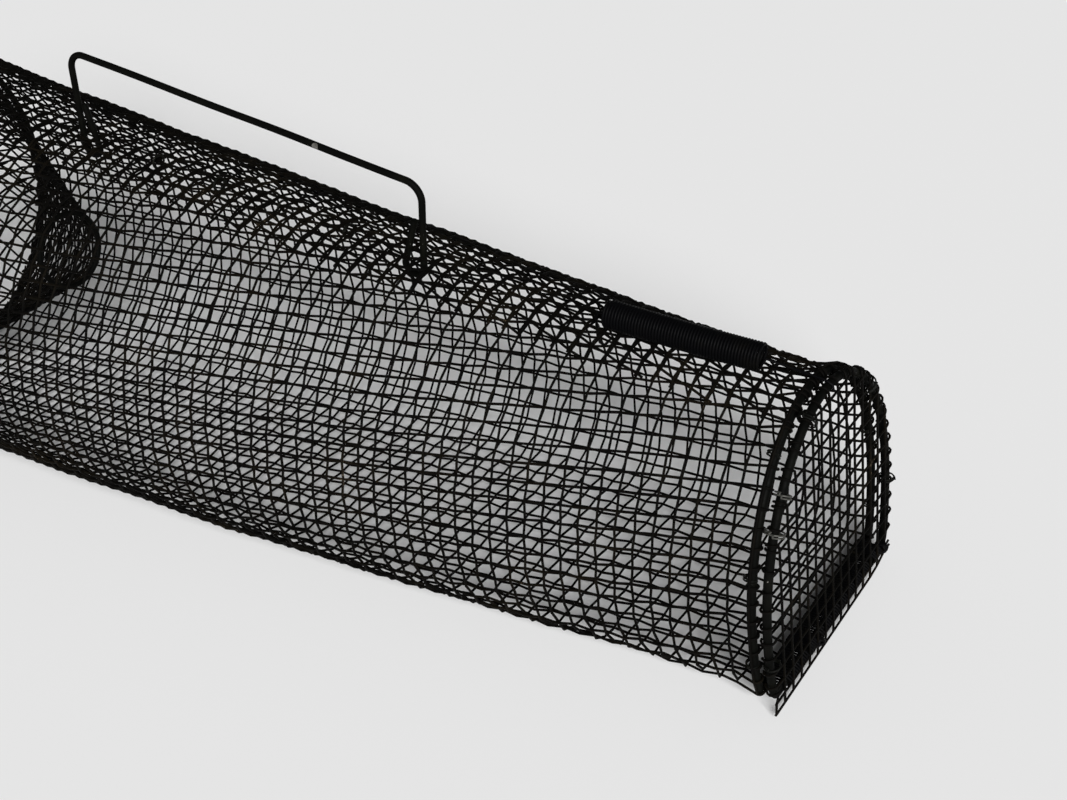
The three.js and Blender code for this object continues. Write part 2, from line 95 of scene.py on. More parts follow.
coatPattern = {
    "patchDetail": 4.0, "patchRoughness": 0.6, "dustFrom": 0.45, "dustFull": 0.75,
    "grainDetail": 3.0, "grainRoughness": 0.55, "grainLow": 0.3, "grainHigh": 0.7,
}


def newMaterial(name):
    material = bpy.data.materials.new(name)
    material.use_nodes = True
    tree = material.node_tree
    tree.nodes.clear()
    output = tree.nodes.new("ShaderNodeOutputMaterial")
    shader = tree.nodes.new("ShaderNodeBsdfPrincipled")
    tree.links.new(shader.outputs["BSDF"], output.inputs["Surface"])
    return material, tree, shader


def ramp(tree, low, high, source):
    node = tree.nodes.new("ShaderNodeMapRange")
    node.interpolation_type = "SMOOTHSTEP"
    node.inputs["From Min"].default_value = low
    node.inputs["From Max"].default_value = high
    tree.links.new(source, node.inputs["Value"])
    return node.outputs["Result"]


def mixColour(tree, factor, first, second):
    node = tree.nodes.new("ShaderNodeMix")
    node.data_type = "RGBA"
    for key, source in (("Factor", factor), ("A", first), ("B", second)):
        tree.links.new(source, node.inputs[key])
    return node.outputs["Result"]


def makeCoatGroup():
    group = bpy.data.node_groups.new("coatSurface", "ShaderNodeTree")
    for name, kind, value in (
        ("Base", "NodeSocketColor", (0.02, 0.02, 0.02, 1)),
        ("Dust", "NodeSocketColor", (0.1, 0.09, 0.07, 1)),
        ("Bare", "NodeSocketColor", (0.5, 0.5, 0.48, 1)),
        ("Grain Size", "NodeSocketFloat", 900.0),
        ("Patch Size", "NodeSocketFloat", 60.0),
        ("Dust Share", "NodeSocketFloat", 0.3),
        ("Chip Level", "NodeSocketFloat", 0.8),
        ("Roughness Low", "NodeSocketFloat", 0.35),
        ("Roughness High", "NodeSocketFloat", 0.6),
        ("Mark Place", "NodeSocketVector", (0, 0, 0)),
        ("Mark Size", "NodeSocketFloat", 0.0),
    ):
        socket = group.interface.new_socket(name, in_out="INPUT", socket_type=kind)
        socket.default_value = value
    for name, kind in (("Color", "NodeSocketColor"), ("Roughness", "NodeSocketFloat"),
                       ("Height", "NodeSocketFloat"), ("Chip", "NodeSocketFloat")):
        group.interface.new_socket(name, in_out="OUTPUT", socket_type=kind)
    nodes, links = group.nodes, group.links
    given = nodes.new("NodeGroupInput")
    made = nodes.new("NodeGroupOutput")
    place = nodes.new("ShaderNodeTexCoord")

    def noiseAt(scale, detail, rough):
        node = nodes.new("ShaderNodeTexNoise")
        links.new(place.outputs["Object"], node.inputs["Vector"])
        node.inputs["Detail"].default_value = detail
        node.inputs["Roughness"].default_value = rough
        links.new(scale, node.inputs["Scale"])
        return node.outputs["Fac"]

    patches = noiseAt(given.outputs["Patch Size"], coatPattern["patchDetail"], coatPattern["patchRoughness"])
    grain = noiseAt(given.outputs["Grain Size"], coatPattern["grainDetail"], coatPattern["grainRoughness"])
    dusty = ramp(group, coatPattern["dustFrom"], coatPattern["dustFull"], patches)
    dustAmount = nodes.new("ShaderNodeMath")
    dustAmount.operation = "MULTIPLY"
    links.new(dusty, dustAmount.inputs[0])
    links.new(given.outputs["Dust Share"], dustAmount.inputs[1])
    coated = mixColour(group, dustAmount.outputs[0], given.outputs["Base"], given.outputs["Dust"])
    chipEdge = nodes.new("ShaderNodeMath")      # chips show only where patch and grain both run high
    chipEdge.operation = "ADD"
    links.new(patches, chipEdge.inputs[0])
    links.new(grain, chipEdge.inputs[1])
    chip = nodes.new("ShaderNodeMath")
    chip.operation = "GREATER_THAN"
    links.new(chipEdge.outputs[0], chip.inputs[0])
    links.new(given.outputs["Chip Level"], chip.inputs[1])
    fromMark = nodes.new("ShaderNodeVectorMath")        # one larger spot where the coat has gone
    fromMark.operation = "DISTANCE"
    links.new(place.outputs["Object"], fromMark.inputs[0])
    links.new(given.outputs["Mark Place"], fromMark.inputs[1])
    mark = nodes.new("ShaderNodeMath")
    mark.operation = "LESS_THAN"
    links.new(fromMark.outputs["Value"], mark.inputs[0])
    links.new(given.outputs["Mark Size"], mark.inputs[1])
    bare = nodes.new("ShaderNodeMath")
    bare.operation = "MAXIMUM"
    links.new(chip.outputs[0], bare.inputs[0])
    links.new(mark.outputs[0], bare.inputs[1])
    colour = mixColour(group, bare.outputs[0], coated, given.outputs["Bare"])
    rough = nodes.new("ShaderNodeMapRange")
    links.new(grain, rough.inputs["Value"])
    rough.inputs["From Min"].default_value = coatPattern["grainLow"]
    rough.inputs["From Max"].default_value = coatPattern["grainHigh"]
    links.new(given.outputs["Roughness Low"], rough.inputs["To Min"])
    links.new(given.outputs["Roughness High"], rough.inputs["To Max"])
    height = nodes.new("ShaderNodeMath")
    height.operation = "SUBTRACT"
    links.new(grain, height.inputs[0])
    links.new(bare.outputs[0], height.inputs[1])
    links.new(colour, made.inputs["Color"])
    links.new(rough.outputs["Result"], made.inputs["Roughness"])
    links.new(height.outputs[0], made.inputs["Height"])
    links.new(bare.outputs[0], made.inputs["Chip"])
    return group


coatGroup = makeCoatGroup()


def coatedMaterial(name, settings):
    material, tree, shader = newMaterial(name)
    coat = tree.nodes.new("ShaderNodeGroup")
    coat.node_tree = coatGroup
    for key, value in settings["coat"].items():
        coat.inputs[key].default_value = value
    tree.links.new(coat.outputs["Color"], shader.inputs["Base Color"])
    tree.links.new(coat.outputs["Roughness"], shader.inputs["Roughness"])
    bump = tree.nodes.new("ShaderNodeBump")
    bump.inputs["Strength"].default_value = settings["bumpStrength"]
    bump.inputs["Distance"].default_value = settings["bumpDistance"]
    tree.links.new(coat.outputs["Height"], bump.inputs["Height"])
    tree.links.new(bump.outputs["Normal"], shader.inputs["Normal"])
    if settings["bareIsMetal"]:
        tree.links.new(coat.outputs["Chip"], shader.inputs["Metallic"])
    else:
        shader.inputs["Metallic"].default_value = settings["metal"]
    shader.inputs["Specular IOR Level"].default_value = settings["specular"]
    return material


finishes = {
    "meshWire": {
        "coat": {"Base": (0.0018, 0.0016, 0.0013, 1), "Dust": (0.009, 0.0068, 0.0035, 1),
                 "Bare": (0.10, 0.075, 0.05, 1), "Grain Size": 1500.0, "Patch Size": 45.0, "Dust Share": 0.5,
                 "Chip Level": 1.36, "Roughness Low": 0.55, "Roughness High": 0.8},
        "bumpStrength": 0.3, "bumpDistance": 0.00015, "metal": 0.0, "bareIsMetal": False, "specular": 0.035,
    },
    "ringRod": {
        "coat": {"Base": (0.0018, 0.0019, 0.0016, 1), "Dust": (0.006, 0.006, 0.004, 1),
                 "Bare": (0.26, 0.25, 0.23, 1), "Grain Size": 700.0, "Patch Size": 70.0, "Dust Share": 0.5,
                 "Chip Level": 1.33, "Roughness Low": 0.45, "Roughness High": 0.7},
        "bumpStrength": 0.45, "bumpDistance": 0.0003, "metal": 0.0, "bareIsMetal": True, "specular": 0.03,
    },
    "springWire": {
        "coat": {"Base": (0.0015, 0.0015, 0.0018, 1), "Dust": (0.005, 0.0045, 0.003, 1),
                 "Bare": (0.16, 0.15, 0.14, 1), "Grain Size": 900.0, "Patch Size": 120.0, "Dust Share": 0.35,
                 "Chip Level": 1.4, "Roughness Low": 0.4, "Roughness High": 0.6},
        "bumpStrength": 0.3, "bumpDistance": 0.0002, "metal": 0.0, "bareIsMetal": True, "specular": 0.035,
    },
    "tieSteel": {
        "coat": {"Base": (0.07, 0.07, 0.062, 1), "Dust": (0.03, 0.028, 0.02, 1),
                 "Bare": (0.22, 0.22, 0.20, 1), "Grain Size": 1200.0, "Patch Size": 200.0, "Dust Share": 0.8,
                 "Chip Level": 1.22, "Roughness Low": 0.4, "Roughness High": 0.65},
        "bumpStrength": 0.4, "bumpDistance": 0.0002, "metal": 0.6, "bareIsMetal": False, "specular": 0.3,
    },
    "tieDark": {
        "coat": {"Base": (0.003, 0.0033, 0.0024, 1), "Dust": (0.012, 0.011, 0.007, 1),
                 "Bare": (0.10, 0.10, 0.085, 1), "Grain Size": 1200.0, "Patch Size": 150.0, "Dust Share": 0.6,
                 "Chip Level": 1.3, "Roughness Low": 0.45, "Roughness High": 0.7},
        "bumpStrength": 0.4, "bumpDistance": 0.0002, "metal": 0.3, "bareIsMetal": False, "specular": 0.08,
    },
}
gripMark = {"Mark Place": (0.0388, -0.0009, 0.1532), "Mark Size": 0.0014}      # metres
finishes["handleRod"] = {**finishes["ringRod"], "coat": {**finishes["ringRod"]["coat"], **gripMark}}
materials = {name: coatedMaterial(name, settings) for name, settings in finishes.items()}
print("materials made:", ", ".join(materials))


# Geometry nodes: turns drawn lines into round wire

def makeTubeGroup():
    group = bpy.data.node_groups.new("roundWire", "GeometryNodeTree")
    group.interface.new_socket("Geometry", in_out="INPUT", socket_type="NodeSocketGeometry")
    group.interface.new_socket("Radius", in_out="INPUT", socket_type="NodeSocketFloat")
    group.interface.new_socket("Sides", in_out="INPUT", socket_type="NodeSocketInt")
    group.interface.new_socket("Geometry", in_out="OUTPUT", socket_type="NodeSocketGeometry")
    nodes, links = group.nodes, group.links
    given, made = nodes.new("NodeGroupInput"), nodes.new("NodeGroupOutput")
    toCurve = nodes.new("GeometryNodeMeshToCurve")
    profile = nodes.new("GeometryNodeCurvePrimitiveCircle")
    toMesh = nodes.new("GeometryNodeCurveToMesh")
    toMesh.inputs["Fill Caps"].default_value = True
    links.new(given.outputs["Geometry"], toCurve.inputs["Mesh"])
    links.new(given.outputs["Radius"], profile.inputs["Radius"])
    links.new(given.outputs["Sides"], profile.inputs["Resolution"])
    links.new(toCurve.outputs["Curve"], toMesh.inputs["Curve"])
    links.new(profile.outputs["Curve"], toMesh.inputs["Profile Curve"])
    links.new(toMesh.outputs["Mesh"], made.inputs["Geometry"])
    return group


tubeGroup = makeTubeGroup()


rodSides, wireSides, fineSides = 16, 6, 8


def finishWire(bm, name, radius, sides, material, body, stands=()):
    bmesh.ops.scale(bm, vec=(mm, mm, mm), verts=bm.verts)
    mesh = bpy.data.meshes.new(name)
    bm.to_mesh(mesh)
    bm.free()
    piece = bpy.data.objects.new(name, mesh)
    bpy.context.scene.collection.objects.link(piece)
    modifier = piece.modifiers.new("roundWire", "NODES")
    modifier.node_group = tubeGroup
    sockets = {item.name: item.identifier for item in tubeGroup.interface.items_tree
               if item.in_out == "INPUT"}
    modifier[sockets["Radius"]] = radius * mm
    modifier[sockets["Sides"]] = sides
    bpy.context.view_layer.update()
    tube = bpy.data.meshes.new_from_object(piece.evaluated_get(bpy.context.evaluated_depsgraph_get()))
    piece.modifiers.clear()
    piece.data = tube
    tube.name = name
    tube.materials.clear()
    tube.materials.append(materials[material])
    tube.polygons.foreach_set("use_smooth", [True] * len(tube.polygons))
    if body:
        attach(piece, body)
    if stands:
        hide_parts(*stands)
    return piece


# drawing a wire: a start, straight runs, and bends made by spinning the tip

def startWire(bm, point):
    return bm.verts.new(Vector(point))


def runTo(bm, tip, point):
    new = bmesh.ops.extrude_vert_indiv(bm, verts=[tip])["verts"][0]
    new.co = Vector(point)
    return new


def bend(bm, tip, centre, axis, angle, steps, climb=(0, 0, 0)):
    out = bmesh.ops.spin(bm, geom=[tip], cent=Vector(centre), axis=Vector(axis), dvec=Vector(climb),
                         angle=angle, steps=steps, use_duplicate=False)
    return [g for g in out["geom_last"] if isinstance(g, bmesh.types.BMVert)][0]


# The body's shape

bodyShape = {
    "doorX": 225.115,           # where the mesh ends at the door, mm
    "length": 457.2,
    "cell": 6.35,
    "halfWidth": (47.4, 83.0),  # door end, funnel end
    "height": (91.3, 166.0),
    "halfFloor": (43.5, 6.0),
    "shoulder": (28.0, 83.0),
    "floorZ": (7.0, 1.157),
    "growth": {"halfWidth": 1.85, "height": 1.18, "halfFloor": 1.6, "shoulder": 1.8},
    "floorSteps": 6, "shoulderSteps": 20, "archSteps": 50,
}
cell = bodyShape["cell"]
outlines = {}


def mix(pair, share):
    return pair[0] + (pair[1] - pair[0]) * share


def smooth(value):
    value = min(max(value, 0.0), 1.0)
    return value * value * (3 - 2 * value)


def sectionSizes(share):
    growth = bodyShape["growth"]
    return (mix(bodyShape["halfWidth"], 1 - (1 - share) ** growth["halfWidth"]),
            mix(bodyShape["height"], share ** growth["height"]),
            mix(bodyShape["halfFloor"], share ** growth["halfFloor"]),
            mix(bodyShape["shoulder"], share ** growth["shoulder"]),
            mix(bodyShape["floorZ"], share))


# points round half of a section, and the running length at each
def halfOutline(share):
    key = round(share, 5)
    if key not in outlines:
        width, height, floor, shoulder, low = sectionSizes(min(max(share, 0.0), 1.0))
        flat, turn, arch = bodyShape["floorSteps"], bodyShape["shoulderSteps"], bodyShape["archSteps"]
        points = [(floor * i / flat, low) for i in range(flat)]
        points += [(floor + (width - floor) * math.sin(a), low + shoulder * (1 - math.cos(a)))
                   for a in (math.pi / 2 * i / turn for i in range(turn))]
        points += [(width * math.cos(a), low + shoulder + (height - shoulder) * math.sin(a))
                   for a in (math.pi / 2 * i / arch for i in range(arch + 1))]
        run = [0.0]
        for before, after in zip(points, points[1:]):
            run.append(run[-1] + math.dist(before, after))
        outlines[key] = points, run
    return outlines[key]


def halfLength(share):
    return halfOutline(share)[1][-1]


# y, z and the outward direction at a distance round from the floor's middle
def sectionPoint(share, arc):
    points, run = halfOutline(share)
    side = 1 if arc >= 0 else -1
    length = abs(arc)
    past = length > run[-1]
    if past:                    # over the ridge and down the other side
        length = 2 * run[-1] - length
    i = 1
    while i < len(run) - 1 and run[i] < length:
        i += 1
    part = (length - run[i - 1]) / (run[i] - run[i - 1])
    (y0, z0), (y1, z1) = points[i - 1], points[i]
    y, z = y0 + (y1 - y0) * part, z0 + (z1 - z0) * part
    outY, outZ = z1 - z0, y0 - y1
    size = math.hypot(outY, outZ)
    if past:
        side = -side
    return side * y, z, side * outY / size, outZ / size


ringRods = {
    "endRadius": 1.5, "bodyRingX": 226.915, "doorRingX": 232.215,
    "mouthX": -233.985, "mouthRadius": 82.55, "mouthRod": 1.6, "centreZ": 84.157,
    "throatX": -117.485, "throatRadius": 16.0, "throatRod": 1.2,
    "mouthSteps": 120, "throatSteps": 48,
}


# the place on the end rings' line that is nearest to a point, and the way out of the arch there
def nearestOutline(point):
    points, _ = halfOutline(0.0)
    side = 1 if point.y >= 0 else -1
    flat = Vector((abs(point.y), point.z))
    best = None
    for before, after in zip(points, points[1:]):
        start, way = Vector(before), Vector(after) - Vector(before)
        part = min(max((flat - start).dot(way) / way.length_squared, 0.0), 1.0)
        spot = start + way * part
        gap = (flat - spot).length
        if best is None or gap < best[0]:
            best = gap, spot, Vector((way.y, -way.x)).normalized()
    _, spot, out = best
    return side * spot.x, spot.y, Vector((0, side * out.x, out.y))


# Wire cloth: a flat grid, cut to shape and then laid on its surface

clothCut = {
    "halvings": 10,             # how closely a cut end finds the outline
    "shortest": 0.02,           # a stub shorter than this share of a cell is left off
}


# the lines of one direction of a square mesh; grid point (0, 0) is its middle column's foot
def wireCloth(columns, rows, alongRows, inside, place):
    bm = bmesh.new()
    bmesh.ops.create_grid(bm, x_segments=columns, y_segments=rows, size=0.5)
    bmesh.ops.scale(bm, vec=(columns * cell, rows * cell, 1), verts=bm.verts)
    bmesh.ops.translate(bm, vec=(0, rows * cell / 2, 0), verts=bm.verts)
    bmesh.ops.delete(bm, geom=bm.faces[:], context="FACES_ONLY")
    cross = [e for e in bm.edges
             if (abs(e.verts[0].co.x - e.verts[1].co.x) > cell / 2) == alongRows]
    bmesh.ops.delete(bm, geom=cross, context="EDGES_FACES")
    within = {v: inside(v.co.x, v.co.y) for v in bm.verts}
    for edge in bm.edges[:]:
        first, second = edge.verts
        if within[first] == within[second]:
            continue
        if not within[first]:
            first, second = second, first
        low, high = 0.0, 1.0
        for _ in range(clothCut["halvings"]):
            middle = (low + high) / 2
            spot = first.co.lerp(second.co, middle)
            if inside(spot.x, spot.y):
                low = middle
            else:
                high = middle
        if low > clothCut["shortest"]:
            tip = bm.verts.new(first.co.lerp(second.co, low))
            bm.edges.new((first, tip))
            within[tip] = True
    bmesh.ops.delete(bm, geom=[v for v in bm.verts if not within[v]], context="VERTS")
    bmesh.ops.delete(bm, geom=[v for v in bm.verts if not v.link_edges], context="VERTS")
    for vert in bm.verts:
        vert.co = place(vert.co.x, vert.co.y)
    return bm


def crimp(u, v, depth):
    return depth * math.cos(math.pi * u / cell) * math.cos(math.pi * v / cell)


bodyCloth = {
    "wireRadius": 0.48,
    "crimp": 0.42,
    "cellsAlong": 72,
    "cellsRound": 92,
    "sink": 0.4,                # the cloth's middle lies this far inside the outline
    "flapOver": 19.0,           # the far edge comes over the ridge and lies on the near side
    "flapUnder": 9.0,           # the near edge goes on under it
    "flapLift": 1.0,
    "flapStart": 8.0,           # before the ridge, and the run over which it rises
    "flapRun": 12.0,
    "wobble": 0.8, "wobbleScale": 0.021,
    "ripple": 0.3, "rippleScale": 0.083,
    "quietRun": 30.0,           # both fade out towards the ends
    "doorReach": 1.8,           # the lengthwise wires reach over the end ring and into the mouth ring
    "hookRadius": 2.0,
    "hookTurn": (140, 210),     # degrees, round the end ring's rod
    "hookSteps": 7, "hookDrift": 0.07,
}
hair = 0.01                     # mm, for telling the end rows from the others


def bodyInside(u, v):
    share = v / bodyShape["length"]
    if share < 0 or share > 1:
        return False
    over = bodyCloth["flapOver"] if u > 0 else bodyCloth["flapUnder"]
    return abs(u) <= halfLength(share) + over


def bodyPlace(sign):
    def place(u, v):
        share = min(max(v / bodyShape["length"], 0.0), 1.0)
        y, z, outY, outZ = sectionPoint(share, u)
        lift = sign * crimp(u, v, bodyCloth["crimp"]) - bodyCloth["sink"]
        toRidge = halfLength(share) - abs(u)
        if u > 0:
            lift += bodyCloth["flapLift"] * smooth((bodyCloth["flapStart"] - toRidge) / bodyCloth["flapRun"])
        x = bodyShape["doorX"] - v
        if v < hair:
            x += bodyCloth["doorReach"]
            lift = bodyCloth["hookRadius"]
        elif v > bodyShape["length"] - hair:
            x -= bodyCloth["doorReach"]
        run = bodyCloth["quietRun"]
        quiet = smooth(v / run) * smooth((bodyShape["length"] - v) / run)
        spot = Vector((x, y, z))
        drift = noise.noise_vector(spot * bodyCloth["wobbleScale"]) * bodyCloth["wobble"]
        drift += noise.noise_vector(spot * bodyCloth["rippleScale"]) * bodyCloth["ripple"]
        return spot + drift * quiet + Vector((0, outY, outZ)) * lift
    return place


def wireEnds(bm):
    return [v for v in bm.verts if len(v.link_edges) == 1]


def hookBodyEnds(bm):
    for tip in wireEnds(bm):
        if tip.co.x < ringRods["bodyRingX"] - 0.1:
            continue
        y, z, out = nearestOutline(tip.co)
        axis, drift = out.cross(Vector((1, 0, 0))), bodyCloth["hookDrift"]
        bend(bm, tip, (ringRods["bodyRingX"], y, z), axis, math.radians(rng.uniform(*bodyCloth["hookTurn"])),
             bodyCloth["hookSteps"], axis * rng.uniform(-drift, drift))


for name, alongRows, sign in (("body_mesh_lengths", True, 1), ("body_mesh_hoops", False, -1)):
    bm = wireCloth(bodyCloth["cellsRound"], bodyCloth["cellsAlong"], alongRows, bodyInside, bodyPlace(sign))
    if alongRows:
        hookBodyEnds(bm)
    piece = finishWire(bm, name, bodyCloth["wireRadius"], wireSides, "meshWire", "trap_body",
                       ("body_mesh",))
    print(name, len(piece.data.polygons), "faces")


# Funnel: flat mesh cut to a sector and rolled into a cone

funnelCloth = {
    "rimX": -233.98, "throatX": -118.98, "rimRadius": 79.6, "throatRadius": 16.0, "centreZ": 84.157,
    "wireRadius": 0.48, "crimp": 0.42, "overlap": 0.10,     # overlap in radians of the roll
    "lapFrom": 0.97, "lapRun": 0.15, "lapLift": 0.8,        # share of half a turn, radians, mm
}
slant = math.dist((funnelCloth["rimX"], funnelCloth["rimRadius"]),
                  (funnelCloth["throatX"], funnelCloth["throatRadius"]))
sine = (funnelCloth["rimRadius"] - funnelCloth["throatRadius"]) / slant
innerReach, outerReach = funnelCloth["throatRadius"] / sine, funnelCloth["rimRadius"] / sine
halfSector = math.pi * sine


def funnelInside(u, v):
    v -= outerReach
    reach, angle = math.hypot(u, v), math.atan2(u, v)
    return innerReach <= reach <= outerReach and abs(angle) <= halfSector + funnelCloth["overlap"]


def funnelPlace(sign):
    def place(u, v):
        lift = sign * crimp(u, v, funnelCloth["crimp"])
        v -= outerReach
        reach, angle = math.hypot(u, v), math.atan2(u, v) / sine
        radius = reach * sine
        x = funnelCloth["rimX"] + (outerReach - reach) * math.sqrt(1 - sine * sine)
        cosine = math.sqrt(1 - sine * sine)
        lap = math.pi * funnelCloth["lapFrom"]
        if angle > lap:
            lift += funnelCloth["lapLift"] * smooth((angle - lap) / funnelCloth["lapRun"])
        radius += lift * cosine
        x += lift * sine
        return Vector((x, radius * math.sin(angle), funnelCloth["centreZ"] - radius * math.cos(angle)))
    return place


across = 2 * math.ceil(outerReach / cell)
for name, alongRows, sign in (("funnel_mesh_lengths", True, 1), ("funnel_mesh_cross", False, -1)):
    bm = wireCloth(across, across, alongRows, funnelInside, funnelPlace(sign))
    piece = finishWire(bm, name, funnelCloth["wireRadius"], wireSides, "meshWire", "trap_body",
                       ("funnel_mesh",))
    print(name, len(piece.data.polygons), "faces")


# Door net on the outer face of the door ring, its cut ends sticking out

doorNet = {
    "planeX": 234.49, "wireRadius": 0.43, "crimp": 0.32, "bottomZ": 0.475, "hingeZ": 7.0,
    "columns": 19, "rows": 17,
    "wobble": 0.45, "wobbleScale": 0.045, "wobbleRise": 12.0,
    "hookTurn": (150, 235),             # degrees round the door ring's rod
    "hookRadius": (1.95, 2.12),         # off its middle
    "hookFrom": 1.5, "hookSteps": 7, "hookDrift": 0.1,
    "skirtNear": -48.2, "skirtFar": 45.5, "skirtTop": 2.0,      # the mesh below the hinge, and where it stops
    "skirtUp": 1.7, "skirtIn": 0.25,    # its lowest wire
    "curl": 3.0, "curlFrom": 30.0, "curlRun": 16.0,             # and how its far end turns up
}


def netInside(u, v):
    z = v + doorNet["bottomZ"]
    if z < doorNet["bottomZ"] - hair:
        return False
    if z < doorNet["hingeZ"] + doorNet["skirtTop"]:
        return doorNet["skirtNear"] <= u <= doorNet["skirtFar"]
    width, height, floor, shoulder, low = sectionSizes(0.0)
    up = z - low
    if up < shoulder:
        edge = floor + (width - floor) * math.sin(math.acos(max(-1.0, 1 - up / shoulder)))
    elif up > height:
        return False
    else:
        edge = width * math.sqrt(max(0.0, 1 - ((up - shoulder) / (height - shoulder)) ** 2))
    return abs(u) <= edge


def netPlace(sign):
    def place(u, v):
        spot = Vector((doorNet["planeX"] + sign * crimp(u, v, doorNet["crimp"]), u, v + doorNet["bottomZ"]))
        if v < hair:
            farShare = smooth((u - doorNet["curlFrom"]) / doorNet["curlRun"])
            spot.z += doorNet["skirtUp"] + doorNet["curl"] * farShare
            spot.x -= doorNet["skirtIn"]
        drift = noise.noise_vector(spot * doorNet["wobbleScale"]) * doorNet["wobble"]
        return spot + Vector((0, drift.y, drift.z)) * smooth(v / doorNet["wobbleRise"])
    return place


def hookNetEnds(bm):
    for tip in wireEnds(bm):
        if tip.co.z < doorNet["hingeZ"] + doorNet["hookFrom"]:
            continue
        y, z, out = nearestOutline(tip.co)
        axis, drift = Vector((1, 0, 0)).cross(out), doorNet["hookDrift"]
        tip.co = Vector((ringRods["doorRingX"] + rng.uniform(*doorNet["hookRadius"]), y, z))
        bend(bm, tip, (ringRods["doorRingX"], y, z), axis, math.radians(rng.uniform(*doorNet["hookTurn"])),
             doorNet["hookSteps"], axis * rng.uniform(-drift, drift))


for name, alongRows, sign in (("door_mesh_uprights", True, 1), ("door_mesh_crosswires", False, -1)):
    bm = wireCloth(doorNet["columns"], doorNet["rows"], alongRows, netInside, netPlace(sign))
    hookNetEnds(bm)
    piece = finishWire(bm, name, doorNet["wireRadius"], fineSides, "meshWire", "door",
                       ("door_mesh",))
    print(name, len(piece.data.polygons), "faces")


# End rings

def archRing(name, x, body, stands):
    points, _ = halfOutline(0.0)
    bm = bmesh.new()
    start = tip = startWire(bm, (x, *points[0]))
    for y, z in points[1:] + [(-y, z) for y, z in points[-2:0:-1]]:
        tip = runTo(bm, tip, (x, y, z))
    bm.edges.new((tip, start))
    finishWire(bm, name, ringRods["endRadius"], rodSides, "ringRod", body, (stands,))


archRing("body_end_rod", ringRods["bodyRingX"], "trap_body", "body_end_ring")
archRing("door_rod", ringRods["doorRingX"], "door", "door_ring")


def roundRing(name, x, radius, rod, stands, segments):
    bm = bmesh.new()
    bmesh.ops.create_circle(bm, segments=segments, radius=radius)
    bmesh.ops.rotate(bm, verts=bm.verts, cent=(0, 0, 0), matrix=Euler((0, math.pi / 2, 0)).to_matrix())
    bmesh.ops.translate(bm, verts=bm.verts, vec=(x, 0, ringRods["centreZ"]))
    finishWire(bm, name, rod, rodSides, "ringRod", "trap_body", (stands,))


roundRing("mouth_rod", ringRods["mouthX"], ringRods["mouthRadius"], ringRods["mouthRod"],
          "mouth_ring", ringRods["mouthSteps"])
roundRing("throat_rod", ringRods["throatX"], ringRods["throatRadius"], ringRods["throatRod"],
          "throat_ring", ringRods["throatSteps"])
print("rings made")


# Carry handle

handle = {
    "rod": 1.3, "footDoor": (79.065, 0, 115.865), "footMouth": (-86.035, 0, 141.758),
    "doorRise": 29.0, "mouthRise": 35.5, "bendRadius": 7.0,     # the grip stands higher at its mouth end
    "hookWidth": 8.0, "hookDepth": 9.5, "tail": 14.0, "lean": 4.6, "bendSteps": 14,
    "gripCuts": 20, "longRun": 40.0,                    # the grip is the only run that is longer than this
    "drift": (0, 0.5, 0.35), "driftScale": 0.02, "driftFrom": 15.0,     # the grip isn't quite straight
}


# the hook and leg, from the tail's cut end to the start of the grip
def handleEnd(bm, foot, inward, up, rise):
    hookRadius = handle["hookWidth"] / 2
    side = up.cross(inward)

    def at(along, height):
        return foot + inward * along + up * height

    hookZ = hookRadius + handle["rod"] - handle["hookDepth"]
    tip = startWire(bm, at(handle["hookWidth"] - handle["lean"], handle["tail"]))
    tip = runTo(bm, tip, at(handle["hookWidth"], hookZ))
    tip = bend(bm, tip, at(hookRadius, hookZ), side, math.pi, handle["bendSteps"])
    tip = runTo(bm, tip, at(0, rise - handle["bendRadius"]))
    centre = at(handle["bendRadius"], rise - handle["bendRadius"])
    return bend(bm, tip, centre, side, math.pi / 2, handle["bendSteps"])


footDoor, footMouth = Vector(handle["footDoor"]), Vector(handle["footMouth"])
ridgeWay = (footMouth - footDoor).normalized()
handleUp = Vector((ridgeWay.z, 0, -ridgeWay.x))
bm = bmesh.new()
nearTip = handleEnd(bm, footDoor, ridgeWay, handleUp, handle["doorRise"])
farTip = handleEnd(bm, footMouth, -ridgeWay, handleUp, handle["mouthRise"])
bm.edges.new((nearTip, farTip))
bmesh.ops.subdivide_edges(bm, edges=[e for e in bm.edges if e.calc_length() > handle["longRun"]],
                          cuts=handle["gripCuts"])
for vert in bm.verts:
    if vert.co.z > footDoor.z + handle["driftFrom"]:
        vert.co += Vector(handle["drift"]) * noise.noise(vert.co * handle["driftScale"])
finishWire(bm, "handle_bail", handle["rod"], rodSides, "handleRod", "handle", ("carry_handle",))
print("handle made")


# Door spring, close wound, with a hook at each end

spring = {
    "wire": 0.52, "radius": 5.0, "pitch": 1.06, "sag": 0.3,
    "left": (157.455, -4.6, 111.6), "right": (211.415, -1.6, 105.1),
    "stepsPerTurn": 16, "lead": 1.2,
    "anchorX": 152.455, "ridgeZ": 105.9, "hookDrop": 7.0,
    "anchorHook": ((4.5, 2.4), (2.2, 0.0), (0.6, 0.8), (0.0, 2.6)),     # x and z off the hook's foot
    "anchorTop": ((0.0, -2.2), (0.8, -0.6), (2.4, 0.0)),            # x off the hook, z off the coil's axis
    "riseShares": (0.7, 1.0),           # from the middle out to the first turn
    "ringTopZ": 98.3,
    "doorHook": ((-2.2, 2.7), (0.0, 2.25), (1.9, 1.2), (2.15, -0.6)),   # x and z off the door ring's top
    "followStart": (0.165, 0, 0.105), "followEnd": (0.232, 0, 0.1),     # metres: trap body, then door
}


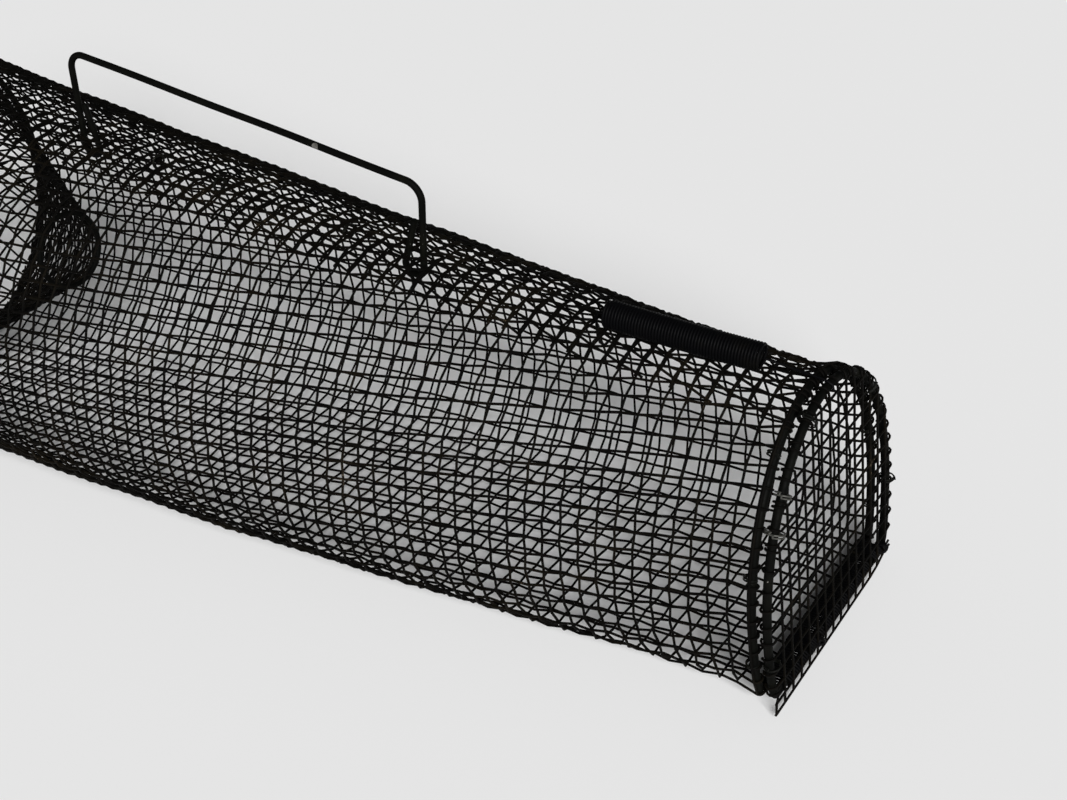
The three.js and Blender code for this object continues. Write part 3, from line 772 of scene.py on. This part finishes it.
def drawSpring():
    bm = bmesh.new()
    left, right = Vector(spring["left"]), Vector(spring["right"])
    axis = (right - left).normalized()
    side = Vector((0, 1, 0)) - axis * axis.y
    side.normalize()
    up = axis.cross(side)
    core = spring["radius"] - spring["wire"]
    anchorX, low = spring["anchorX"], spring["ridgeZ"] - spring["hookDrop"]
    hook = [(anchorX + x, left.y, low + z) for x, z in spring["anchorHook"]]
    hook += [(anchorX + x, left.y, left.z + z) for x, z in spring["anchorTop"]]
    tip = startWire(bm, hook[0])
    for point in hook[1:] + [left - axis * spring["lead"]]:
        tip = runTo(bm, tip, point)
    for share in spring["riseShares"]:
        tip = runTo(bm, tip, left + up * core * share)
    turns = (right - left).length / spring["pitch"]
    steps = round(turns * spring["stepsPerTurn"])
    tip = bend(bm, tip, left, axis, 2 * math.pi * turns, steps, axis * ((right - left).length / steps))
    tip = runTo(bm, tip, right + axis * spring["lead"])
    for x, z in spring["doorHook"]:
        tip = runTo(bm, tip, (ringRods["doorRingX"] + x, 0, spring["ringTopZ"] + z))
    for vert in bm.verts:       # the coil sags a little between its hooks
        share = min(max((vert.co.x - left.x) / (right.x - left.x), 0.0), 1.0)
        vert.co.z -= spring["sag"] * math.sin(math.pi * share)
    return bm


coil = finishWire(drawSpring(), "spring_coil", spring["wire"], fineSides, "springWire", None,
                  ("door_spring",))
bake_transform(coil)
print("spring made")


# Ties and clips: thin wire wound round rod and mesh, its ends twisted

tieWire = {
    "radius": 0.31, "turns": 1.7, "steps": 15, "climb": 0.85, "tail": 0.8, "paleDoorTies": (2, 3),
    "slack": 0.6,               # how much smaller a winding is than its closed ring in the CAD
    "turnsLess": -0.25, "turnsMore": 0.35,
    "startOut": 0.5, "startIn": 0.3, "startAlong": 0.6, "startX": (-0.8, 0.2),      # the first cut end
    "endOut": (0.2, 0.3), "endAlong": 0.3, "endTwist": (0.2, 1.2),                  # the last one
}


def boxOf(node):
    low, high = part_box(node)
    return Vector(low) / mm, Vector(high) / mm


# one winding in the plane of the X axis and the direction across the rod
def drawTie(centre, across, loopRadius, draw):
    bm = bmesh.new()
    across = across.normalized()
    along = Vector((1, 0, 0)).cross(across)
    turns = tieWire["turns"] + draw.uniform(tieWire["turnsLess"], tieWire["turnsMore"])
    first = centre - along * tieWire["climb"] * turns / 2
    start = first + across * loopRadius
    tail = tieWire["tail"] * draw.uniform(0.5, 1.0)
    aside = Vector((draw.uniform(*tieWire["startX"]), 0, 0))
    tip = startWire(bm, start + across * tail * tieWire["startOut"] + aside + along * tieWire["startAlong"])
    tip = runTo(bm, tip, start + across * tieWire["startIn"])
    tip = runTo(bm, tip, start)
    steps = round(tieWire["steps"] * turns)
    tip = bend(bm, tip, first, along, 2 * math.pi * turns, steps, along * (tieWire["climb"] * turns / steps))
    away = (tip.co - centre).normalized()
    bendOut, tailOut = tieWire["endOut"]
    tip = runTo(bm, tip, tip.co + away * bendOut - along * tieWire["endAlong"])
    runTo(bm, tip, tip.co + away * tail * tailOut - along * draw.uniform(*tieWire["endTwist"]))
    return bm


def tieUp(node, body, material, across=None):
    low, high = boxOf(node)
    centre = (low + high) / 2
    if across is None:
        across = nearestOutline(centre)[2]
    loopRadius = (high.x - low.x) / 2 - tieWire["radius"] - tieWire["slack"]
    draw = random.Random(node)
    finishWire(drawTie(centre, across, loopRadius, draw), node + "_wire", tieWire["radius"], wireSides,
               material, body, (node,))


for i in range(1, 7):
    tieUp(f"body_ring_tie_{i}", "trap_body", "tieDark")
    tieUp(f"door_ring_tie_{i}", "door", "tieSteel" if i in tieWire["paleDoorTies"] else "tieDark")
for name, count in (("mouth_clip", 8), ("throat_clip", 4)):
    for i in range(1, count + 1):
        low, high = boxOf(f"{name}_{i}")
        middle = (low + high) / 2
        tieUp(f"{name}_{i}", "trap_body", "tieDark", Vector((0, middle.y, middle.z - ringRods["centreZ"])))


clipWire = {
    "radius": 0.45, "inset": 0.5, "turn": 425, "steps": 22, "shift": 0.35, "climb": 0.035, "crush": 0.82,
}


# a crimped ring across the seam, its ends lapped
def seamClip(node):
    low, high = boxOf(node)
    centre = (low + high) / 2
    loopRadius = (high.y - low.y) / 2 - clipWire["inset"]
    draw = random.Random(node)
    turn = draw.uniform(0, 2 * math.pi)
    bm = bmesh.new()
    middle = centre - Vector((clipWire["shift"], 0, 0))
    tip = startWire(bm, middle + Vector((0, loopRadius * math.cos(turn), loopRadius * math.sin(turn))))
    bend(bm, tip, middle, (1, 0, 0), math.radians(clipWire["turn"]), clipWire["steps"],
         (clipWire["climb"], 0, 0))
    for vert in bm.verts:
        vert.co.z = centre.z + (vert.co.z - centre.z) * clipWire["crush"]
    finishWire(bm, node + "_wire", clipWire["radius"], wireSides, "tieDark", "trap_body", (node,))


for i in range(1, 7):
    seamClip(f"seam_clip_{i}")
print("ties and clips made")


# Hinge wraps: wire wound tight round both bottom rods, ending in a knob

hingeWrap = {
    "wire": 0.5, "pitch": 1.08, "lumps": 0.22, "clearance": 0.08, "bendSteps": 6,
    "knobSpread": 1.75, "knobTurns": 9, "knobSteps": 12, "knobBend": (4.0, 6.0),
    "knobs": {"hinge_wrap_near": (234.2, -14.4, 6.6), "hinge_wrap_far": (234.2, 40.0, 7.4)},
}


def drawWrap(node, knobAt):
    low, high = boxOf(node)
    bodyX, doorX, rodZ = ringRods["bodyRingX"], ringRods["doorRingX"], doorNet["hingeZ"]
    reach = ringRods["endRadius"] + hingeWrap["wire"] + hingeWrap["clearance"]
    turns = int((high.y - low.y - 2 * hingeWrap["wire"]) / hingeWrap["pitch"])
    draw = random.Random(node)
    bm = bmesh.new()
    y = low.y + hingeWrap["wire"]
    tip = startWire(bm, (bodyX, y, rodZ + reach))
    bendSteps = hingeWrap["bendSteps"]
    halfStep = Vector((0, hingeWrap["pitch"] / (2 * bendSteps), 0))
    for _ in range(turns):
        lump = reach + draw.uniform(0, hingeWrap["lumps"])
        tip = runTo(bm, tip, (doorX, tip.co.y, rodZ + lump))
        tip = bend(bm, tip, (doorX, tip.co.y, rodZ), (0, 1, 0), math.pi, bendSteps, halfStep)
        lump = reach + draw.uniform(0, hingeWrap["lumps"])
        tip = runTo(bm, tip, (bodyX, tip.co.y, rodZ - lump))
        tip = bend(bm, tip, (bodyX, tip.co.y, rodZ), (0, 1, 0), math.pi, bendSteps, halfStep)
    centre = Vector(knobAt)
    tip = runTo(bm, tip, centre + Vector((-hingeWrap["knobSpread"], 0, 0)))
    for _ in range(hingeWrap["knobTurns"]):     # loops about changing axes heap up into the knob
        spoke = (tip.co - centre).normalized()
        axis = spoke.cross(Vector([draw.uniform(-1, 1) for _ in range(3)])).normalized()
        tip = bend(bm, tip, centre, axis, draw.uniform(*hingeWrap["knobBend"]), hingeWrap["knobSteps"])
    finishWire(bm, node + "_wire", hingeWrap["wire"], wireSides, "springWire", "trap_body", (node,))


for node, knobAt in hingeWrap["knobs"].items():
    drawWrap(node, knobAt)


hingeLacing = {
    "wire": 0.42, "pitch": 1.25, "reach": 2.12, "bendSteps": 5, "runs": ((-37.0, -21.5), (-12.0, 31.0)),
}


# an open winding along both bottom rods, between the wraps
def drawLacing(bm, start, end):
    bodyX, doorX, rodZ = ringRods["bodyRingX"], ringRods["doorRingX"], doorNet["hingeZ"]
    reach, bendSteps = hingeLacing["reach"], hingeLacing["bendSteps"]
    halfStep = Vector((0, hingeLacing["pitch"] / (2 * bendSteps), 0))
    tip = startWire(bm, (bodyX, start, rodZ + reach))
    for _ in range(int((end - start) / hingeLacing["pitch"])):
        for rodX, height in ((doorX, rodZ + reach), (bodyX, rodZ - reach)):
            tip = runTo(bm, tip, (rodX, tip.co.y, height))
            tip = bend(bm, tip, (rodX, tip.co.y, rodZ), (0, 1, 0), math.pi, bendSteps, halfStep)


bm = bmesh.new()
for start, end in hingeLacing["runs"]:
    drawLacing(bm, start, end)
finishWire(bm, "hinge_lacing", hingeLacing["wire"], wireSides, "springWire", "trap_body", ())
print("hinge wraps and lacing made")


# Stage: floor, light and background

stageSetup = {
    "floorTone": 0.92, "floorRoughness": 0.9, "floorGloss": 0.1, "floorSize": 12, "floorGap": 0.0004,
    "sun": {"azimuth": -46.0, "elevation": 30.0, "strength": 4.85, "softness": 26.0},       # degrees
    "worldLevel": 0.11, "backTone": 0.79,
}


def makeFloor():
    bm = bmesh.new()
    bmesh.ops.create_grid(bm, x_segments=4, y_segments=4, size=stageSetup["floorSize"])
    mesh = bpy.data.meshes.new("studioFloor")
    bm.to_mesh(mesh)
    bm.free()
    floor = bpy.data.objects.new("studioFloor", mesh)
    bpy.context.scene.collection.objects.link(floor)
    floor.location.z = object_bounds()[0].z - stageSetup["floorGap"]
    material, tree, shader = newMaterial("studioFloorPaint")
    tone = stageSetup["floorTone"]
    shader.inputs["Base Color"].default_value = (tone, tone, tone, 1)
    shader.inputs["Roughness"].default_value = stageSetup["floorRoughness"]
    shader.inputs["Specular IOR Level"].default_value = stageSetup["floorGloss"]
    mesh.materials.append(material)


def makeSun(setup):
    data = bpy.data.lights.new("softKey", "SUN")
    data.energy = setup["strength"]
    data.angle = math.radians(setup["softness"])
    sun = bpy.data.objects.new("softKey", data)
    sun.rotation_euler = Euler((math.radians(90 - setup["elevation"]), 0,
                                math.radians(setup["azimuth"] + 90)))
    bpy.context.scene.collection.objects.link(sun)


makeFloor()
makeSun(stageSetup["sun"])

world = bpy.data.worlds.new("studioWorld")
world.use_nodes = True
worldTree = world.node_tree
worldTree.nodes.clear()
worldOut = worldTree.nodes.new("ShaderNodeOutputWorld")
lightBack = worldTree.nodes.new("ShaderNodeBackground")
seenBack = worldTree.nodes.new("ShaderNodeBackground")
chooseBack = worldTree.nodes.new("ShaderNodeMixShader")
rayKind = worldTree.nodes.new("ShaderNodeLightPath")
lightBack.inputs["Strength"].default_value = stageSetup["worldLevel"]
seenBack.inputs["Color"].default_value = (*[stageSetup["backTone"]] * 3, 1)
worldTree.links.new(rayKind.outputs["Is Camera Ray"], chooseBack.inputs["Fac"])
worldTree.links.new(lightBack.outputs["Background"], chooseBack.inputs[1])
worldTree.links.new(seenBack.outputs["Background"], chooseBack.inputs[2])
worldTree.links.new(chooseBack.outputs["Shader"], worldOut.inputs["Surface"])
bpy.context.scene.world = world
bpy.context.scene.view_settings.view_transform = "Standard"
print("stage set")
